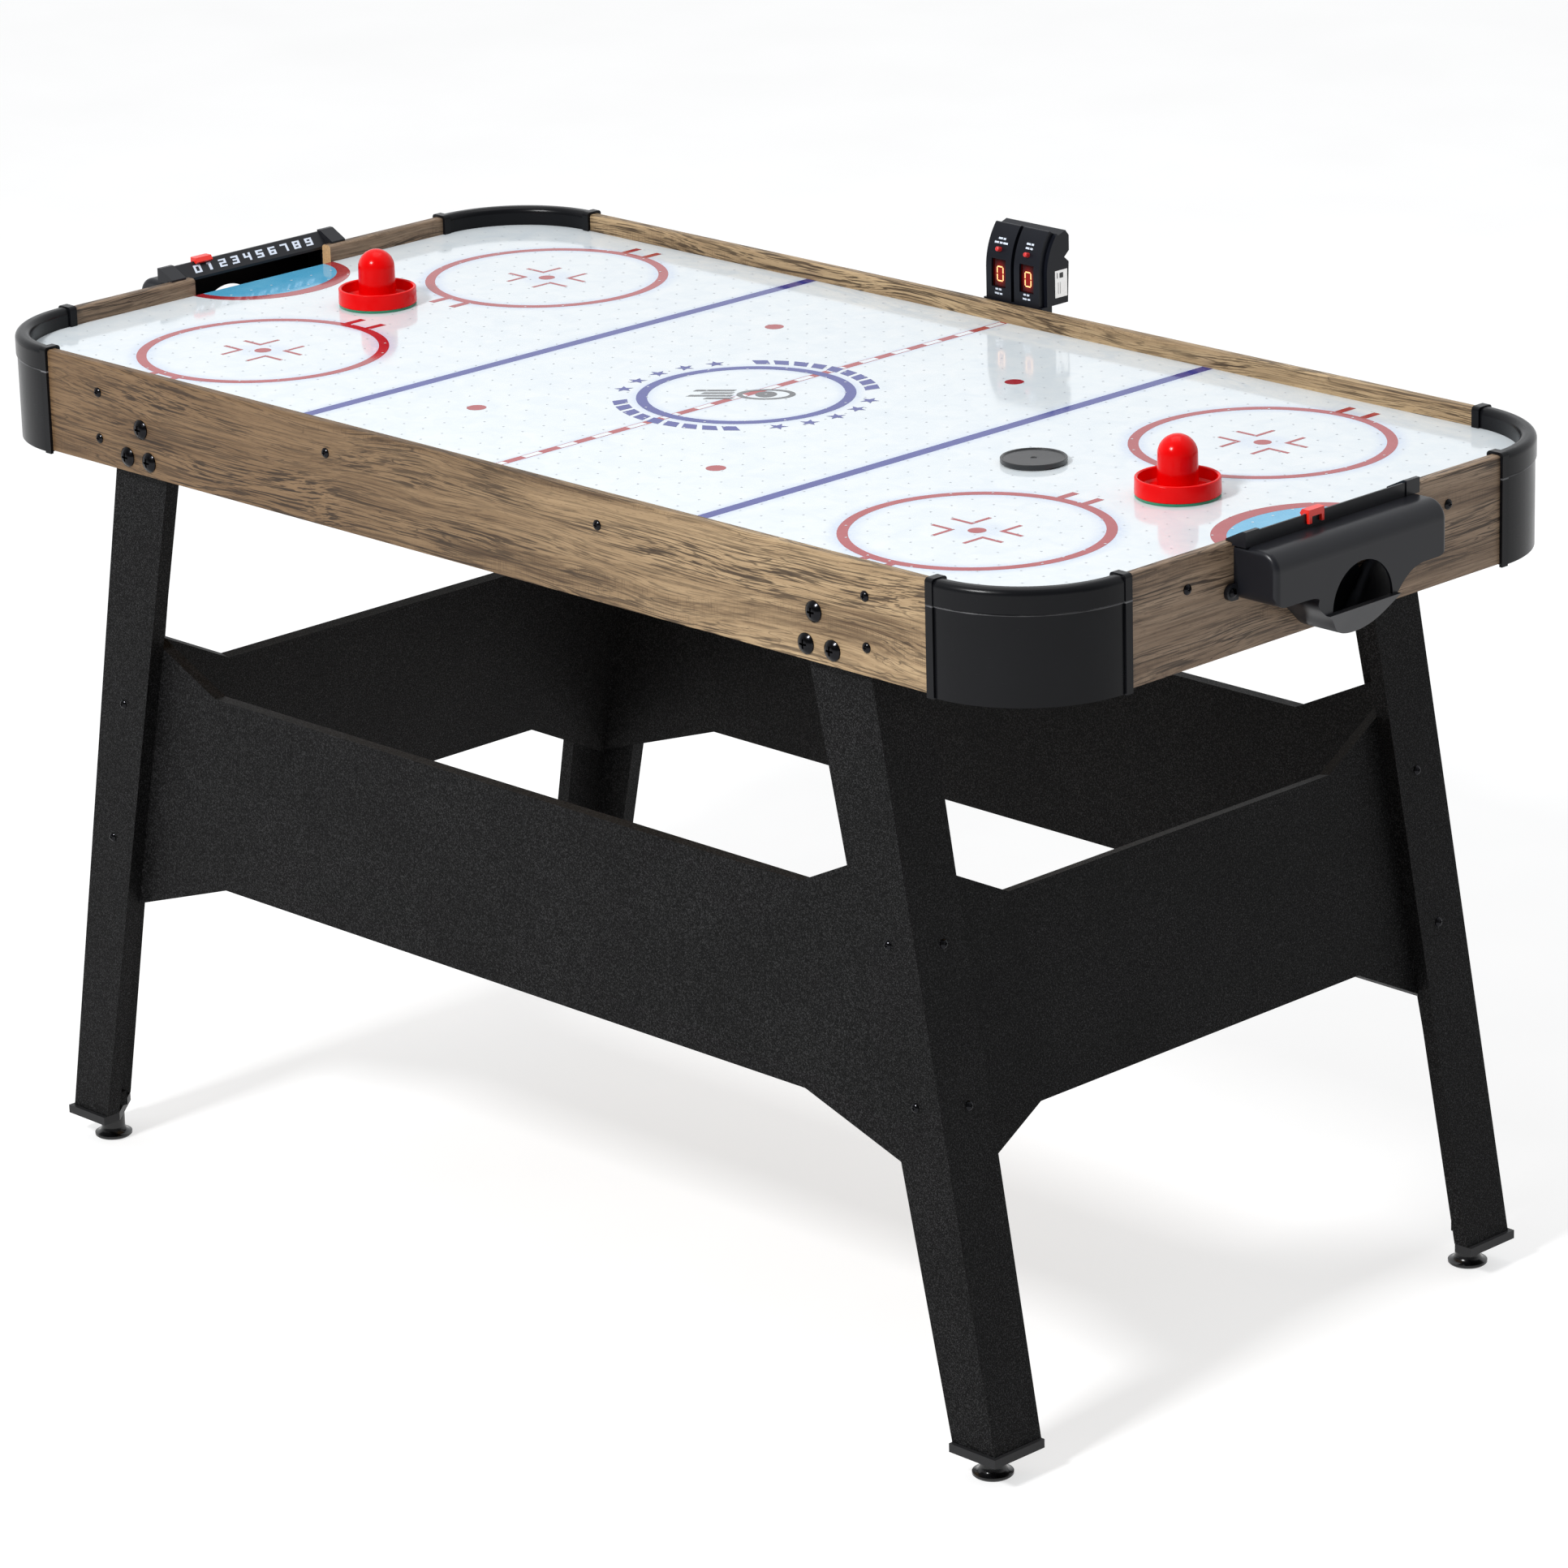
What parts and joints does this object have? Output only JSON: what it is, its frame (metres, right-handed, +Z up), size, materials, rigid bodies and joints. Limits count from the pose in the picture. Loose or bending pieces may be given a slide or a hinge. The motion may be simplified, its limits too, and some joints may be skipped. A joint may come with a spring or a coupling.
{
  "type": "air hockey table",
  "caption": "Air hockey table on splayed legs: rounded dark corners, white rink playfield, goal boxes with score sliders, electronic scorer, fan, levelling feet, strikers and puck.",
  "frame": {"origin": "on the floor, under the middle of the playfield and between the four feet", "axes": "+X along the table towards the right goal, +Y across it towards the scorer, +Z up"},
  "size_m": [1.474, 0.7419, 0.8682],
  "materials": {
    "oak_laminate_side": "oak-grain laminate on fibreboard, matt",
    "oak_laminate_end": "oak-grain laminate on fibreboard, matt, greyer",
    "cap_plastic": "black satin moulding",
    "zinc_steel": "zinc plated strip",
    "playfield_print": "glossy white coated board with printed rink lines",
    "raw_board": "raw fibreboard",
    "fan_plastic": "black moulding",
    "motor_steel": "drawn steel can",
    "socket_plastic": "black moulding",
    "black_board": "black fine-grain foil on fibreboard",
    "foot_plate_plastic": "dark grey moulding",
    "foot_plastic": "glossy black moulding",
    "black_steel": "black-nickel plated steel",
    "goal_plastic": "black satin moulding",
    "slider_plastic": "red moulding",
    "scorer_plastic": "black satin moulding",
    "red_window": "clear dark red window",
    "digit_block": "seven-bar light block",
    "circuit_board": "green circuit board",
    "button_plastic": "red moulding",
    "green_felt": "green felt disc",
    "striker_plastic": "glossy red moulding",
    "puck_plastic": "black moulding"
  },
  "bodies": {
    "table": {"apron_screws": "black_steel", "corner_cap_back_left": "cap_plastic", "corner_cap_back_right": "cap_plastic", "corner_cap_front_left": "cap_plastic", "corner_cap_front_right": "cap_plastic", "corner_straps": "zinc_steel", "end_rail_left": "oak_laminate_end", "end_rail_right": "oak_laminate_end", "end_stretcher_left": "black_board", "end_stretcher_right": "black_board", "fan_guard": "fan_plastic", "fan_housing": "fan_plastic", "fan_motor": "motor_steel", "goal_housing_left": "goal_plastic", "goal_housing_right": "goal_plastic", "goal_sensors": "socket_plastic", "leg_bolts": "black_steel", "leg_corner_blocks": "black_board", "leg_end_board_back_left": "black_board", "leg_end_board_back_right": "black_board", "leg_end_board_front_left": "black_board", "leg_end_board_front_right": "black_board", "leg_foot_plates": "foot_plate_plastic", "leg_screws": "black_steel", "leg_side_board_back_left": "black_board", "leg_side_board_back_right": "black_board", "leg_side_board_front_left": "black_board", "leg_side_board_front_right": "black_board", "panel_screws": "black_steel", "playfield": "playfield_print", "plenum_battens": "raw_board", "plenum_floor": "raw_board", "power_socket": "socket_plastic", "score_rail_left": "goal_plastic", "score_rail_right": "goal_plastic", "scorer_board": "circuit_board", "scorer_cover": "scorer_plastic", "scorer_digit_blocks": "digit_block", "scorer_shell": "scorer_plastic", "scorer_stem": "scorer_plastic", "scorer_windows": "red_window", "side_rail_back": "oak_laminate_side", "side_rail_front": "oak_laminate_side", "side_stretcher_back": "black_board", "side_stretcher_front": "black_board"},
    "left_score_slider": {"score_slider_left": "slider_plastic"},
    "right_score_slider": {"score_slider_right": "slider_plastic"},
    "left_button": {"scorer_button_left": "button_plastic"},
    "right_button": {"scorer_button_right": "button_plastic"},
    "impeller": {"fan_impeller": "fan_plastic"},
    "left_striker": {"striker_left": "striker_plastic", "striker_felt_left": "green_felt"},
    "right_striker": {"striker_right": "striker_plastic", "striker_felt_right": "green_felt"},
    "loose_puck": {"puck": "puck_plastic"},
    "foot_front_right": {"levelling_foot_front_right": "foot_plastic"},
    "foot_front_left": {"levelling_foot_front_left": "foot_plastic"},
    "foot_back_right": {"levelling_foot_back_right": "foot_plastic"},
    "foot_back_left": {"levelling_foot_back_left": "foot_plastic"}
  },
  "joints": [
    {"name": "right_score_slide", "type": "slide", "parent": "table", "child": "right_score_slider", "axis": [0, 1, 0], "range_m": [-0.0505, 0.0907]},
    {"name": "left_score_slide", "type": "slide", "parent": "table", "child": "left_score_slider", "axis": [0, 1, 0], "range_m": [-0.0099, 0.1313]},
    {"name": "left_button_press", "type": "slide", "parent": "table", "child": "left_button", "axis": [0, 0.9585, -0.285], "range_m": [0, 0.0015], "stiffness_N_per_m": 150, "springref_m": -0.001},
    {"name": "right_button_press", "type": "slide", "parent": "table", "child": "right_button", "axis": [0, 0.9585, -0.285], "range_m": [0, 0.0015], "stiffness_N_per_m": 150, "springref_m": -0.001},
    {"name": "fan_spin", "type": "hinge", "parent": "table", "child": "impeller", "pos_m": [0, 0, 0.734], "axis": [0, 0, 1], "continuous": true},
    {"name": "left_striker_glide", "type": "slide", "parent": "table", "child": "left_striker", "axis": [0, 1, 0], "range_m": [-0.3, 0.29]},
    {"name": "right_striker_glide", "type": "slide", "parent": "table", "child": "right_striker", "axis": [0, 1, 0], "range_m": [-0.303, 0.287]},
    {"name": "puck_glide", "type": "slide", "parent": "table", "child": "loose_puck", "axis": [1, 0, 0], "range_m": [-0.79, 0.09]},
    {"name": "foot_front_right_level", "type": "slide", "parent": "table", "child": "foot_front_right", "axis": [0, 0, -1], "range_m": [0, 0.012]},
    {"name": "foot_front_left_level", "type": "slide", "parent": "table", "child": "foot_front_left", "axis": [0, 0, -1], "range_m": [0, 0.012]},
    {"name": "foot_back_right_level", "type": "slide", "parent": "table", "child": "foot_back_right", "axis": [0, 0, -1], "range_m": [0, 0.012]},
    {"name": "foot_back_left_level", "type": "slide", "parent": "table", "child": "foot_back_left", "axis": [0, 0, -1], "range_m": [0, 0.012]}
  ]
}
